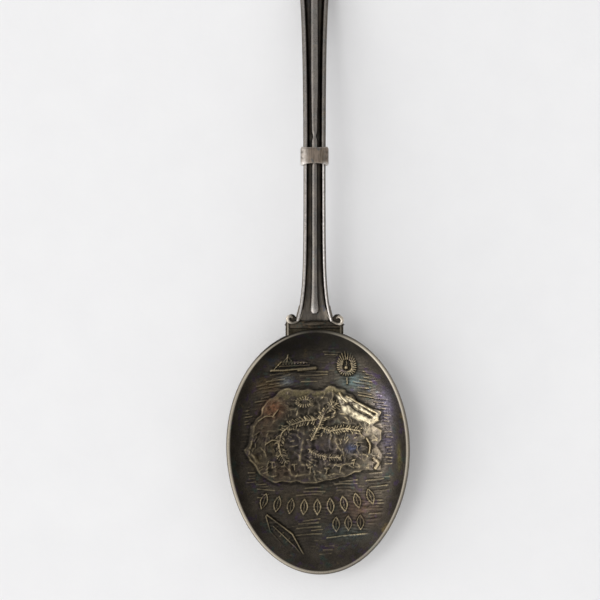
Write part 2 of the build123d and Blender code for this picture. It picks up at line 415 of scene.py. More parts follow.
# %% Steamer
cut([(-7.9, 14.5), (-5.6, 14.4), (0.1, 14.7)], 0.42, 0.34)
cut([(-3.0, 14.35), (0.1, 14.55)], 0.75, 0.3)
cut([(-7.4, 14.7), (-6.1, 16.0), (-1.6, 15.8)], 0.2, 0.26)
cut([(-6.4, 15.2), (-1.0, 15.2)], 0.22, 0.22)
cut([(-5.0, 16.0), (-4.8, 17.3)], 0.22, 0.28)
cut([(-5.6, 16.1), (-4.8, 16.9), (-4.2, 16.1)], 0.18, 0.24)
for port in range(9):
    stroke(-5.7 + 0.53 * port, 15.62, 0, 0.14, 0.26, 0.3)

# %% Fan
fan_x, fan_y = 5.75, 14.9
for rib in range(26):
    angle = (rib + 0.5) * math.tau / 26 - math.pi / 2
    out = 1.25 + 0.75 * max(0, math.sin(angle)) ** 4 + 0.2 * max(0, -math.sin(angle))
    x, y = fan_x + out * math.cos(angle), fan_y + out * math.sin(angle)
    stroke(x, y, angle + 0.3 * math.cos(angle), 0.85 + 0.5 * max(0, math.sin(angle)), 0.3, 0.34)
stroke(fan_x - 0.15, fan_y - 0.35, 0, 0.1, 0.85, 0.46)
stroke(fan_x, fan_y - 2.8, math.pi / 2, 1.1, 0.32, 0.32)
stroke(fan_x, fan_y + 0.9, math.pi / 2, 1.3, 0.2, 0.26)

# %% [markdown]
# ## The sea
#
# Water is engraved as groups of level strokes that get shorter towards the edge of each group.
# The groups are listed one by one where the sea is busiest. Everywhere else a much shallower ripple keeps
# the ground from being blank.

# %% Strokes of the sea
sea_groups = [
    # middle x, y, length, rows, tilt
    (-6.8, 12.3, 3.6, 6, 0.12), (-9.3, 10.4, 2.6, 6, 0.1), (-0.9, 13.0, 5.6, 4, -0.03),
    (3.0, 17.9, 3.4, 4, 0.02), (-6.6, 18.2, 1.6, 3, 0.1), (9.5, 13.2, 1.5, 5, -0.15),
    (8.6, 10.6, 3.3, 6, -0.12), (11.4, 8.2, 2.2, 5, -0.1), (12.7, 4.6, 1.2, 9, 0.0),
    (12.9, -0.6, 1.2, 9, 0.05), (10.9, -6.6, 3.8, 7, 0.12), (5.6, -7.2, 5.2, 4, 0.06),
    (-1.6, -8.1, 6.0, 3, 0.0), (-9.9, -7.4, 3.0, 5, -0.12), (-12.0, -4.8, 1.6, 4, -0.1),
    (10.3, -10.4, 3.4, 6, 0.1), (-1.2, -14.4, 4.6, 5, 0.04), (-12.6, 6.4, 1.4, 6, 0.05),
    (1.0, -18.4, 3.4, 3, 0.03),
]
for x, y, length, rows, tilt in sea_groups:
    for row in range(rows):
        level = (row - (rows - 1) / 2) * 0.6 + hand.uniform(-0.1, 0.1)
        reach = length * hand.uniform(0.4, 1.1)
        shift = hand.uniform(-0.2, 0.2) * length
        slant = tilt + hand.uniform(-0.08, 0.08)
        stroke(x + shift, y + level, slant, reach, hand.uniform(0.2, 0.34), hand.uniform(0.08, 0.15))
for fleck in range(620):
    x, y = hand.uniform(-13.5, 13.5), hand.uniform(-19.5, 19.5)
    nearest = int(np.argmin((X - x) ** 2 + (Y - y) ** 2))
    if land[nearest] > 0.2:
        continue
    tilt = 0.012 * x + hand.uniform(-0.1, 0.1)
    stroke(x, y, tilt, hand.uniform(0.6, 2.4), hand.uniform(0.12, 0.22), hand.uniform(0.02, 0.07))
bent_level = Y + 0.25 * np.sin(X * 0.9) + 0.6 * wander(2.2, 21)
picture += 0.03 * np.sin(11 * bent_level) * wander(1.6, 22) * (1 - land)

# %% [markdown]
# ## A row of leaves and a long canoe
#
# Below the island runs a band of ornament. On this spoon it is a plain row of upright lancet
# leaves on an arc, with a few more on a ground line under it, and a long canoe lies to the left.
# A lancet leaf is two bowed lines and a vein, and it is cut once for each place in the row.

# %% Leaves
def leaf(x, y, tall, turn=0.0, wide=0.62):
    """A pointed leaf that stands at x, y and leans by turn."""
    along = np.linspace(-0.5, 0.5, 7)
    for side in (-1, 1):
        edge = [
            (
                x + side * wide * math.cos(a * math.pi) * math.cos(turn) - a * tall * math.sin(turn),
                y + side * wide * math.cos(a * math.pi) * math.sin(turn) + a * tall * math.cos(turn),
            )
            for a in along
        ]
        cut(edge, 0.24, 0.26)
    stroke(x, y, turn + math.pi / 2, tall * 0.6, 0.16, 0.2)


for place in range(9):
    x = -10.0 + 2.42 * place
    leaf(x, -10.9 + 0.019 * (x + 0.6) ** 2, 2.7, turn=0.035 * x)
for x in (3.0, 5.2, 7.4):
    leaf(x, -14.3 + 0.1 * x, 2.5)
cut([(1.3, -16.3), (9.3, -15.4)], 0.22, 0.24)

# %% Canoe
cut([(-9.7, -11.9), (-9.0, -14.6), (-5.9, -18.2)], 0.26, 0.2)
cut([(-9.5, -11.7), (-5.0, -15.4), (-3.1, -18.9)], 0.34, 0.3)
cut([(-8.4, -13.8), (-4.6, -17.6), (-3.6, -18.8)], 0.2, 0.24)
for bench in range(4):
    stroke(-8.0 + 1.05 * bench, -14.2 - 1.1 * bench, 0.75, 0.9, 0.18, 0.16)

# %% [markdown]
# ## Press the picture, and note where it is worn
#
# The picture fades out before the wall gets steep, because the die would tear the silver there,
# and one patch of sea at the right is rubbed nearly flat. Polish reaches only what stands above
# its surroundings. That is easy to measure on a grid: blur the picture and compare. The result is
# kept on the mesh as `worn`, from 0 in the hollows to 1 on the ridges, and the material reads it
# later. The east of the island is rubbed most, the canoe and the steamer least.

# %% Press and measure the wear
def soft_spot(x, y, half_x, half_y):
    """1 at a place of the picture, fading out these distances away from it."""
    return np.exp(-(((X - x) / half_x) ** 2 + ((Y - y) / half_y) ** 2))


fade = 1 - ramp(share, 0.84, 0.93)
calm = soft_spot(11.6, 10.0, 1.3, 1.8)
picture = np.clip(picture, -0.1, 0.8) * fade * (1 - 0.75 * calm)
floor[:, 2] += picture * mm
set_points(bowl, floor)

sheet = picture.reshape(grid_along + 1, grid_across + 1)


def blur(values, reach):
    """Average over a square window, one axis at a time."""
    for axis in (0, 1):
        margins = [(reach, reach) if axis == k else (0, 0) for k in (0, 1)]
        padded = np.pad(values, margins, mode="edge")
        total = np.cumsum(padded, axis=axis)
        total = np.insert(total, 0, 0, axis=axis)
        upper = np.take(total, range(2 * reach + 1, total.shape[axis]), axis=axis)
        lower = np.take(total, range(0, total.shape[axis] - 2 * reach - 1), axis=axis)
        values = (upper - lower) / (2 * reach + 1)
    return values


proud = (sheet - blur(blur(sheet, 3), 3)).ravel()
rubbed = 0.3 + 0.6 * wander(2.6, 51) + 0.5 * soft_spot(7, 5, 6, 5)
rubbed -= 0.4 * soft_spot(-6.5, -15.5, 3.5, 4.0) + 0.25 * soft_spot(-3.5, 15.5, 5.0, 2.0)
worn = ramp(proud, 0.015, 0.16) * np.clip(rubbed, 0, 1)
# painted shade, added to the tarnish in the hollows: darker towards the steep wall, and much darker at the
# top end of the bowl by the neck
painted_shade_at_wall_and_top = 0.3 * ramp(share, 0.84, 0.95) + 0.85 * ramp(Y, 15, 18.5)
sunk = np.clip(ramp(-proud, 0.0, 0.08) + painted_shade_at_wall_and_top, 0, 1)
paint(bowl, "worn", worn)
paint(bowl, "sunk", sunk)
paint(bowl, "plateau", on_table * ramp(proud, -0.1, 0.0) * fade)
paint(bowl, "rim", np.zeros(len(floor)))

# %% [markdown]
# Some tarnish films sit in known places: copper red in the north-west of the island, a cold bloom round the
# fan, a blue spot inland, olive on the beach. A colour and a strength are painted on the mesh for each, one
# soft spot over another. The sea at the upper right is the smoothest, so the window shines in it; that
# place is painted on the mesh as a polished patch.

# %% Spots of film
spots = [
    # x, y, half width, half height, colour, strength
    (-7.9, 7.4, 1.6, 1.5, (0.36, 0.15, 0.07), 0.95), (-9.6, 4.2, 1.5, 2.0, (0.14, 0.08, 0.045), 0.6),
    (-5.5, 12.4, 1.0, 0.9, (0.26, 0.29, 0.30), 0.8), (6.8, 12.0, 2.0, 1.3, (0.11, 0.16, 0.155), 0.8),
    (-8.6, 11.6, 2.4, 1.2, (0.20, 0.13, 0.06), 0.6), (6.4, -0.4, 1.1, 0.7, (0.04, 0.075, 0.19), 0.85),
    (10.2, 3.2, 2.0, 1.4, (0.58, 0.48, 0.34), 0.85), (10.7, -2.2, 1.3, 2.2, (0.56, 0.46, 0.34), 0.85),
    (12.6, 7.6, 1.5, 3.0, (0.20, 0.18, 0.24), 0.75), (12.8, 1.0, 1.4, 3.5, (0.09, 0.08, 0.13), 0.6),
    (-6.4, -4.4, 3.0, 1.6, (0.12, 0.07, 0.045), 0.55), (-10.9, -2.0, 1.2, 1.8, (0.22, 0.165, 0.08), 0.55),
    (-7.6, 0.6, 1.8, 1.2, (0.20, 0.14, 0.06), 0.5), (7.6, -11.4, 3.0, 2.6, (0.13, 0.07, 0.045), 0.45),
    (14.7, -1.5, 0.35, 2.2, (0.20, 0.17, 0.05), 0.8), (-3.5, -9.8, 6.0, 1.6, (0.12, 0.085, 0.05), 0.5),
    (4.5, -15.6, 4.0, 1.2, (0.07, 0.11, 0.105), 0.5), (0.5, -1.0, 3.5, 2.5, (0.085, 0.065, 0.09), 0.5),
    (-4.5, 1.2, 1.6, 1.6, (0.08, 0.07, 0.10), 0.5),
]
land_tint, beach_tint, film_light = (0.115, 0.095, 0.066), (0.34, 0.28, 0.14), 1.3
film = np.column_stack([land * part for part in land_tint] + [0.6 * land * fade])
covers = [(beach_tint, 0.85 * beach)]
for x, y, half_x, half_y, tint, strength in spots:
    covers.append((film_light * np.array(tint), strength * soft_spot(x, y, half_x, half_y)))
for tint, strength in covers:
    film[:, :3] += (tint - film[:, :3]) * (strength / (strength + film[:, 3] + 1e-6))[:, None]
    film[:, 3] = 1 - (1 - film[:, 3]) * (1 - strength)
paint(bowl, "polish_and_sheen", soft_spot(11.5, 9.6, 1.6, 3.0))
paint_film(bowl, film)
print("worn share of the picture", round(float((worn > 0.5).mean()), 2))

# %% [markdown]
# ## The rim and the back
#
# The wall ends in a narrow land that is rounded outside. By hand one would extrude the edge of the grid
# ring by ring. So does this loop: each turn extrudes the open edge and moves the new ring to its width and
# height. The rim is rubbed, and its brightness also carries painted light that depends on the bearing, in
# degrees from the right-hand side: a painted highlight, brightest at the upper right, and painted shade
# where the yoke covers it and on the outer rings beside the shoulder.

# %% Rim rings
def open_edge(piece):
    """Select the open edge of a piece, and leave it in edit mode."""
    edit(piece, "EDGE")
    bpy.ops.mesh.select_non_manifold(extend=False)


rings = [
    # wider than the inside edge, height, how bright
    (0.05, 0.02, 0.25), (0.16, 0.07, 0.85), (0.28, 0.08, 1.0), (0.42, 0.06, 0.6),
    (0.55, 0.0, 0.25), (0.65, -0.10, 0.15), (0.70, -0.24, 0.1), (0.62, -0.46, 0.1),
]
ring_x, ring_y = inner_x, inner_y


def near_bearing(bearing, middle, reach):
    """1 at a bearing in degrees round the rim, fading out a reach away from it."""
    return np.exp(-(((bearing - middle) / reach) ** 2))


for wider, height, brightness in rings:
    open_edge(bowl)
    bpy.ops.mesh.extrude_edges_move(TRANSFORM_OT_translate={"value": (0, 0, 0)})
    bpy.ops.object.mode_set(mode="OBJECT")
    chosen = np.empty(len(bowl.data.vertices), bool)
    bowl.data.vertices.foreach_get("select", chosen)
    rows_now = points(bowl)
    way_v = rows_now[chosen, 1] / ring_y
    way_u = rows_now[chosen, 0] / ring_x / (1 + egg * way_v)
    ring_x, ring_y = inner_x + wider * mm, inner_y + wider * mm
    rows_now[chosen, 0] = ring_x * (1 + egg * way_v) * way_u
    rows_now[chosen, 1] = ring_y * way_v
    rows_now[chosen, 2] = height * mm
    set_points(bowl, rows_now)
    bearing = np.degrees(np.arctan2(way_v, way_u)) % 360
    # painted highlight and painted shade on the rim by bearing: brighter near 47 and 130 degrees, darker
    # under the yoke near 90 degrees and, on the outer rings, beside the shoulder near 112
    polish_and_sheen = 0.5 + 0.45 * near_bearing(bearing, 47, 20) + 0.25 * near_bearing(bearing, 130, 12)
    polish_and_sheen += 0.15 * near_bearing(bearing, 225, 25) - 0.12 * near_bearing(bearing, 290, 25)
    polish_and_sheen *= 1 - 0.92 * near_bearing(bearing, 90, 20)
    polish_and_sheen *= 1 - 0.9 * near_bearing(bearing, 112, 16) * (wider > 0.3)
    rim_brightness = np.array([item.value for item in bowl.data.attributes["rim"].data])
    rim_brightness[chosen] = brightness * polish_and_sheen
    paint(bowl, "rim", rim_brightness)
report(bowl)

# %% [markdown]
# The back is a second, coarser grid with half as many points round its edge, and a bridge joins
# its open edge to the last ring. A joined mesh fills an attribute that one half lacks with a value
# of Blender's own choice, so the back is painted with all of them first.

# %% Back of the bowl
clean_start()
bpy.ops.mesh.primitive_grid_add(x_subdivisions=115, y_subdivisions=150, size=2)
back = name_piece("bowl_back")
u, v = disc(back)
back_share = 0.955
set_points(back, dish(u * back_share, v * back_share, half_width, half_length, outside_depth))
back_points = len(back.data.vertices)
for name in ("worn", "sunk", "plateau", "polish_and_sheen"):
    paint(back, name, np.zeros(back_points))
paint(back, "rim", np.full(back_points, 0.15))
paint_film(back, np.zeros((back_points, 4)))
edit(back)
bpy.ops.mesh.select_all(action="SELECT")
bpy.ops.mesh.flip_normals()
take(back)
bowl.select_set(True)
bpy.context.view_layer.objects.active = bowl
bpy.ops.object.join()
open_edge(bowl)
bpy.ops.mesh.bridge_edge_loops()
clean_start()
bowl.data.transform(bowl_place)
placed = points(bowl)
placed[:, 2] = np.maximum(placed[:, 2], 0)
set_points(bowl, placed)
outward(bowl)
smooth(bowl)
report(bowl)

# %% [markdown]
# ## The square shoulders
#
# At the neck the bowl is left square, with a low bright lip up each side. The lips are part of the
# same sheet, so they are shaped as the bowl was: a grid whose points are moved by a formula, here
# one that lifts two narrow lines. The Solidify modifier then gives the sheet its thickness.

# %% Shoulders
neck_place = Matrix.Translation(neck) @ Matrix.Rotation(math.radians(3.0), 4, "X")
shoulder_half, shoulder_drop, lip_place = 5.2 * mm, 0.1 * mm, 4.78 * mm

clean_start()
bpy.ops.mesh.primitive_grid_add(x_subdivisions=90, y_subdivisions=14, size=2)
shoulders = name_piece("bowl_shoulders")
across, along, _ = points(shoulders).T
x = across * shoulder_half
mid_x, mid_y = half_width - rim / 2, half_length - rim / 2
front = mid_y * np.sqrt(1 - (x / mid_x) ** 2) - half_length
end = 1.05 * mm * ramp(abs(x), 4.5 * mm, 4.7 * mm) + 0.02 * mm
y = front + (end - front) * (along + 1) / 2
lip = np.exp(-(((abs(x) - lip_place) / (0.09 * mm)) ** 2))
beyond = ramp(abs(x) - lip_place, 0, 0.25 * mm)
set_points(shoulders, np.column_stack((x, y, -shoulder_drop + 0.13 * mm * lip - 0.3 * mm * beyond)))
paint(shoulders, "rim", lip * np.where(x < 0, 0.4, 0.06))
paint(shoulders, "worn", np.full(len(x), 0.06))
paint(shoulders, "sunk", 0.25 * (1 - lip))
paint(shoulders, "plateau", np.zeros(len(x)))
thicken(shoulders, 1.35 * mm, -1)
apply_all(shoulders)
shoulders.data.transform(neck_place)
outward(shoulders)
smooth(shoulders, 50)
report(shoulders)

# %% [markdown]
# ## The stem: one section, drawn out
#
# A reeded stem is drawn through a die, so it has the same section all along: a flat back with
# broken corners, a round reed on each edge, and a sunk field between. The section is a circle
# primitive whose points are moved onto that outline. It is extruded once, its long edges are
# subdivided, and the bar is then bent onto the spoon's side line and spread where it widens.

# %% The side line
foot_y, crest_y, head_end_y = neck_y + 1.4, neck_y + 30.85, 49.2
foot_z, crest_z, foot_slope, crest_slope = neck_z - 1.67, neck_z + 0.75, 0.16, -0.03


def curve_between(y, start, end):
    """Height and slope of the even curve between two places, each given as y, z and slope."""
    (y0, z0, m0), (y1, z1, m1) = start, end
    span = y1 - y0
    t = (y - y0) / span
    z = (2 * t**3 - 3 * t**2 + 1) * z0 + (3 * t**2 - 2 * t**3) * z1
    z += span * ((t**3 - 2 * t**2 + t) * m0 + (t**3 - t**2) * m1)
    rise = 6 * (t * t - t) * (z0 - z1) / span + (3 * t**2 - 4 * t + 1) * m0 + (3 * t**2 - 2 * t) * m1
    return z, rise


def side_line(y):
    """Height and slope of the stem's back at y, all in millimetres."""
    lower = curve_between(y, (foot_y, foot_z, foot_slope), (crest_y, crest_z, crest_slope))
    upper = curve_between(y, (crest_y, crest_z, crest_slope), (head_end_y, 0, 0))
    return np.where(y < crest_y, lower, upper)


crest_height = float(side_line(np.array([crest_y]))[0][0])

# %% Section and bar
stem_half, reed_height = 1.975, 2.1


def stem_outline(reed_half):
    """Outline of the stem with edge reeds of this half width, all in millimetres."""
    section = [
        # x, z: back, broken corner, side
        (0, 0), (0.7, 0), (1.3, 0.03), (1.6, 0.12), (1.83, 0.32), (1.95, 0.62),
        (stem_half, 1.0), (stem_half, 1.45),
    ]
    for step in range(9):
        angle = math.pi * step / 8
        x = stem_half - reed_half * (1 - math.cos(angle))
        section.append((x, reed_height - reed_half * (1 - math.sin(angle))))
    inner = stem_half - 2 * reed_half
    section += [(inner - 0.02, 1.5), (inner - 0.07, 1.22), (inner - 0.2, 1.07)]
    section += [(0.8, 1.0), (0.5, 0.97), (0, 0.96)]
    return section + [(-x, z) for x, z in section[-2:0:-1]]


def bar(name, outline, start, end, cuts):
    """A straight bar along Y with the given outline, cut into even lengths."""
    clean_start()
    bpy.ops.mesh.primitive_circle_add(vertices=len(outline), radius=1, fill_type="NGON")
    piece = name_piece(name)
    set_points(piece, [(x, start, z) for x, z in outline])
    edit(piece)
    bpy.ops.mesh.select_all(action="SELECT")
    bpy.ops.mesh.extrude_region_move(TRANSFORM_OT_translate={"value": (0, end - start, 0)})
    pick(piece, "EDGE", lambda edge: runs_along(piece, edge, 1))
    bpy.ops.mesh.subdivide(number_cuts=cuts)
    clean_start()
    return piece


def lay_on_side_line(piece, x, y, z):
    """Bend a bar onto the spoon's side line. Everything comes in millimetres."""
    back, slope = side_line(y)
    set_points(piece, np.column_stack((x, y, back + z * np.sqrt(1 + slope**2))) * mm)


def spread(x, z, y):
    """Push the edge reeds outwards at the foot and below the head, and leave the back's middle."""
    foot = 1.45 * np.exp(-(y - foot_y) / 4.2) * (y < crest_y)
    end = 2.65 * np.exp(-(head_end_y - y) / 10) * (y >= crest_y)
    hold = ramp(abs(x), 0.25, 1.25)
    return x + np.sign(x) * hold * (foot + end)


# %% [markdown]
# The tops of the edge reeds are worn bright in a narrow line. The sunk field keeps some dirt and gets
# painted shade, the right half much more than the left. The lower length has slim reeds and the upper one
# broad ones.

# %% The two lengths of stem
def stem_length(name, start, end, cuts, reed_half, rubbed, right_share):
    """One length of stem. Its right reed is rubbed to a share of what its left one is."""
    piece = bar(name, stem_outline(reed_half), start, end, cuts)
    x, y, z = points(piece).T
    from_crest = (abs(x) - (1.9 - reed_half)) / (0.5 * reed_half)
    crest = np.exp(-(from_crest**2)) * ramp(z, 1.6, 2.0)
    paint(piece, "worn", crest * rubbed * np.where(x < 0, 1.0, right_share))
    # painted shade over some dirt in the sunk field, far darker in the right half than in the left
    groove = (abs(x) < 1.3) * ramp(-z, -1.6, -1.15) * (z > 0.5) * np.where(x < 0, 0.1, 0.75)
    outer_side = ramp(abs(x), 1.86, 1.95) * (z > 0.5)
    paint(piece, "sunk", np.maximum(groove, outer_side))
    lay_on_side_line(piece, spread(x, z, y), y, z)
    outward(piece)
    smooth(piece, 45)
    report(piece)
    return piece


lower_stem = stem_length("lower_stem_bar", foot_y, crest_y, 110, 0.33, 1.0, 0.95)
upper_stem = stem_length("upper_stem_bar", crest_y, head_end_y, 130, 0.42, 0.5, 0.45)

# %% [markdown]
# ## The middle reed
#
# The middle reed stands higher than the edge reeds. It swells into a round nose above the bowl, and
# over the collar it is pinched into a bud with a split reed above it. It is a bar again, with a
# half-oval section, and its width follows a formula along the stem.

# %% Middle reeds
reed_outline = []
for step in range(21):
    c, s = math.cos(math.pi * step / 20), math.sin(math.pi * step / 20)
    reed_outline.append((math.copysign(abs(c) ** 0.85, c), s**0.72))
reed_outline += [(-1.0, -0.5), (1.0, -0.5)]
reed_foot, reed_top = 0.95, 1.6
nose_y, upper_nose_y = neck_y + 2.55, 45.0
bud_y, split_end_y = neck_y + 34.5, neck_y + 41.5


def middle_reed(name, start, end, cuts, rubbed, half, groove):
    """A reed whose half width and middle groove are functions of y."""
    piece = bar(name, reed_outline, start, end, cuts)
    u, y, v = points(piece).T
    full = half(y)
    cut_in = groove(y) * np.exp(-((u / 0.16) ** 2)) * (v > 0)
    height = reed_top * np.clip(full / 0.55, 0.02, 1) ** 0.7
    nose = np.exp(-(((y - nose_y) / 1.6) ** 2))
    paint(piece, "worn", ramp(v, 0.1, 0.6) * (rubbed + 0.35 * nose) * (1 - ramp(cut_in, 0, 0.25)))
    paint(piece, "sunk", 0.5 * ramp(cut_in, 0.02, 0.2) + 0.3 * ramp(-v, -0.2, 0.1))
    lay_on_side_line(piece, u * full, y, reed_foot + v * height - cut_in)
    outward(piece)
    smooth(piece, 60)
    report(piece)
    return piece


def round_end(y, end, length):
    """From 0 at an end to 1 a length away from it, as a circle does."""
    t = np.clip(abs(y - end) / length, 0, 1)
    return np.sqrt(1 - (1 - t) ** 2)


def lower_half(y):
    """A reed that swells towards its nose."""
    return (0.64 + 0.4 * np.exp(-(y - nose_y) / 3.0)) * round_end(y, nose_y, 1.0)


def upper_half(y):
    """A reed that is pinched at the bud and then widens a little."""
    pinch = 0.42 * np.exp(-(((y - bud_y) / 0.4) ** 2))
    widening = 0.68 + 0.16 * ramp(y, neck_y + 35, neck_y + 46)
    return widening * (1 - pinch) * round_end(y, upper_nose_y, 1.6)


def no_groove(y):
    return np.zeros(len(y))


def split(y):
    """Depth of the line that splits the reed above the bud."""
    return 0.14 * ramp(y, bud_y + 0.3, bud_y + 1.6) * (1 - ramp(y, split_end_y - 3, split_end_y))


lower_reed = middle_reed("lower_middle_reed", nose_y, crest_y, 110, 0.16, lower_half, no_groove)
upper_reed = middle_reed("upper_middle_reed", crest_y, upper_nose_y, 150, 0.2, upper_half, split)

# %% [markdown]
# ## The yoke with its two scrolls
#
# The yoke is a bar across the neck that hides where stem and bowl are soldered. It is a cube with
# bevelled edges, made in the neck's own frame, where the bar is level, and then tilted into place.

# %% Bar of the yoke
def in_neck(piece):
    """Bring a piece that was made in millimetres of the neck's own frame to its place."""
    piece.data.transform(neck_place @ Matrix.Scale(mm, 4))
    outward(piece)


clean_start()
bpy.ops.mesh.primitive_cube_add(size=1, location=(0, 0.7, -1.125), scale=(10.2, 1.4, 1.65))
yoke = name_piece("yoke_bar")
edit(yoke, "EDGE")
bpy.ops.mesh.select_all(action="SELECT")
bpy.ops.mesh.subdivide(number_cuts=1)
clean_start()
soften(yoke, 0.12)
apply_all(yoke)
in_neck(yoke)
smooth(yoke, 40)
report(yoke)


# %% [markdown]
# Two mouldings run along the bar. Each is a cylinder whose long edges are cut into short ones, so
# that a formula can swell it in the middle like a lens, or let it fade towards the left.

# %% Mouldings
def rod(name, start, end, radius, plan, rise):
    """A rod along X whose width and height follow two formulas of its share, from -1 to 1."""
    clean_start()
    bpy.ops.mesh.primitive_cylinder_add(vertices=20, radius=1, depth=2, rotation=(0, math.pi / 2, 0))
    piece = name_piece(name)
    pick(piece, "EDGE", lambda edge: runs_along(piece, edge, 0))
    bpy.ops.mesh.subdivide(number_cuts=40)
    clean_start()
    share, side, up = points(piece).T
    (x0, y0, z0), (x1, y1, z1) = start, end
    t = (share + 1) / 2
    set_points(piece, np.column_stack((
        x0 + (x1 - x0) * t,
        y0 + (y1 - y0) * t + side * radius * plan(share),
        z0 + (z1 - z0) * t + up * radius * rise(share),
    )))
    in_neck(piece)
    smooth(piece, 60)
    return piece


def lens(share):
    return np.clip(1 - abs(share) ** 2.4, 0.06, 1)


def fading(share):
    return 0.35 + 0.65 * ramp(share, -1, 0.2)


upper_moulding = rod("upper_moulding", (-2.35, 0.92, -0.12), (2.4, 1.05, -0.12), 0.42, lens, lens)
lower_moulding = rod("lower_moulding", (-2.2, 0.3, -0.3), (5.0, 0.42, -0.3), 0.2, fading, fading)
for moulding in (upper_moulding, lower_moulding):
    report(moulding)


# %% [markdown]
# Each edge of the stem ends in a scroll on top of the bar. A goldsmith bends such a scroll from
# tapered wire. Here it is a curve with a radius at every point, which is then made a mesh.

# %% Wires
def wires(name, strands, fine=5, around=4):
    """Tapered wires as one mesh. A strand is a list of x, y, z and radius, in millimetres."""
    clean_start()
    bpy.ops.curve.primitive_nurbs_path_add()
    drawn = bpy.context.object
    drawn.name = drawn.data.name = name
    curve = drawn.data
    curve.splines.clear()
    curve.dimensions = "3D"
    curve.bevel_depth = 1
    curve.bevel_resolution = around
    curve.use_fill_caps = True
    for strand in strands:
        spline = curve.splines.new("NURBS")
        spline.points.add(len(strand) - 1)
        for point, (x, y, z, radius) in zip(spline.points, strand):
            point.co = (x, y, z, 1)
            point.radius = radius
        spline.order_u = 4
        spline.use_endpoint_u = True
        spline.resolution_u = fine
    take(drawn)
    bpy.ops.object.convert(target="MESH")
    return name_piece(name)


left_scroll = [
    (-2.05, 3.7, 0.0, 0.10), (-2.15, 2.9, 0.05, 0.14), (-2.5, 2.0, 0.12, 0.17), (-2.95, 1.42, 0.16, 0.2),
    (-3.6, 1.1, 0.2, 0.24), (-4.35, 1.12, 0.22, 0.28), (-4.83, 1.5, 0.24, 0.31), (-4.85, 2.05, 0.24, 0.32),
    (-4.45, 2.38, 0.24, 0.3), (-4.0, 2.25, 0.22, 0.24), (-3.95, 1.9, 0.2, 0.16),
]
right_scroll = [
    (2.1, 3.7, 0.0, 0.10), (2.2, 2.9, 0.05, 0.14), (2.6, 1.95, 0.12, 0.17), (3.2, 1.35, 0.16, 0.2),
    (3.95, 0.95, 0.2, 0.24), (4.6, 0.85, 0.22, 0.28), (4.98, 1.2, 0.24, 0.31), (4.98, 1.85, 0.24, 0.31),
    (4.55, 2.25, 0.24, 0.31), (4.05, 2.2, 0.22, 0.25), (3.95, 1.85, 0.2, 0.16),
]
right_rib = [(2.72, 4.2, 0.12, 0.1), (2.95, 3.1, 0.16, 0.15), (3.15, 2.3, 0.1, 0.14), (3.3, 1.6, 0, 0.1)]
left_rib = [(-x, y, z, radius) for x, y, z, radius in right_rib]
scrolls = wires("yoke_scrolls", [left_scroll, right_scroll, left_rib, right_rib], fine=8, around=6)
out_x = abs(points(scrolls)[:, 0])
paint(scrolls, "worn", 0.25 + 0.7 * ramp(out_x, 3.9, 4.9))
in_neck(scrolls)
smooth(scrolls)
report(scrolls)

# %% [markdown]
# Under each scroll lies a small round bed with a sunk top, which keeps the eye of the scroll dark.
# It is a cylinder whose top face is inset and pushed down.

# %% Beds under the scrolls
beds = []
for side, x in (("left", -4.12), ("right", 4.12)):
    clean_start()
    bpy.ops.mesh.primitive_cylinder_add(vertices=40, radius=0.86, depth=1.35, location=(x, 1.75, -0.62))
    bed = name_piece(f"scroll_bed_{side}")
    pick(bed, "FACE", looks_up)
    bpy.ops.mesh.inset(thickness=0.16)
    bpy.ops.transform.translate(value=(0, 0, -0.18))
    clean_start()
    in_neck(bed)
    smooth(bed, 40)
    beds.append(bed)

# %% [markdown]
# ## The collar
#
# A band of sheet is wrapped round the stem and soldered. Its two edges are hollowed a little by filing and
# rubbed a little bright. Its lower corners get a painted highlight, and its left side is painted lighter,
# as the light falls from the left. It starts as an open circle, is set to a rounded rectangle, drawn out,
# hollowed by a formula, and given the thickness of sheet by Solidify.

# %% Collar
low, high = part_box("collar")
collar_x, collar_y, collar_z = (high - low) / 2
collar_mid = (low + high) / 2
squareness = 3.4
clean_start()
bpy.ops.mesh.primitive_circle_add(vertices=96, radius=1, fill_type="NOTHING")
collar = name_piece("collar_band")
edit(collar)
bpy.ops.mesh.select_all(action="SELECT")
for ring in range(24):
    bpy.ops.mesh.extrude_edges_move(TRANSFORM_OT_translate={"value": (0, 0, 1 / 12)})
clean_start()
rows_now = points(collar)
turn = np.arctan2(rows_now[:, 1], rows_now[:, 0])
along = rows_now[:, 2] - 1
c, s = np.cos(turn), np.sin(turn)
out = (abs(c) ** squareness + abs(s) ** squareness) ** (-1 / squareness)
edge_round = 1 - 0.075 * ramp(abs(along), 0.62, 1.0) ** 2
x, z = out * c * edge_round, out * s * edge_round
waist = 1 - np.where(along < 0, 0.27, 0.1) * (1 - np.clip(abs(x), 0, 1) ** 2.5)
set_points(collar, np.column_stack((
    collar_mid.x + collar_x * x,
    collar_mid.y + collar_y * along * waist,
    collar_mid.z + collar_z * z,
)))
# the worn amount of the collar holds a painted highlight on the lower corners and painted light on the left
# side, with wear along the two edges
lower_corner_highlight = ramp(abs(x), 0.45, 0.8) * ramp(-along, 0.5, 0.9)
two_edges = ramp(abs(along), 0.85, 1.0)
lit_left_side = ramp(-x, 0.3, 0.85)
paint(collar, "worn", np.clip(0.75 * lower_corner_highlight + 0.35 * two_edges + 0.45 * lit_left_side, 0, 1))
slanted = (along + 0.25 - 1.4 * (abs(x) - 0.85)) / 0.12
level = (along - 0.4) / 0.14
crease = np.exp(-(slanted**2)) + np.exp(-(level**2))
paint(collar, "sunk", 0.7 * crease * ramp(abs(x), 0.74, 0.86))
first_face = collar.data.polygons[0]
looks_in = first_face.normal.dot(first_face.center - collar_mid) < 0
thicken(collar, 0.42 * mm, 1 if looks_in else -1)
soften(collar, 0.14 * mm, 60)
apply_all(collar)
outward(collar)
smooth(collar, 50)
report(collar)

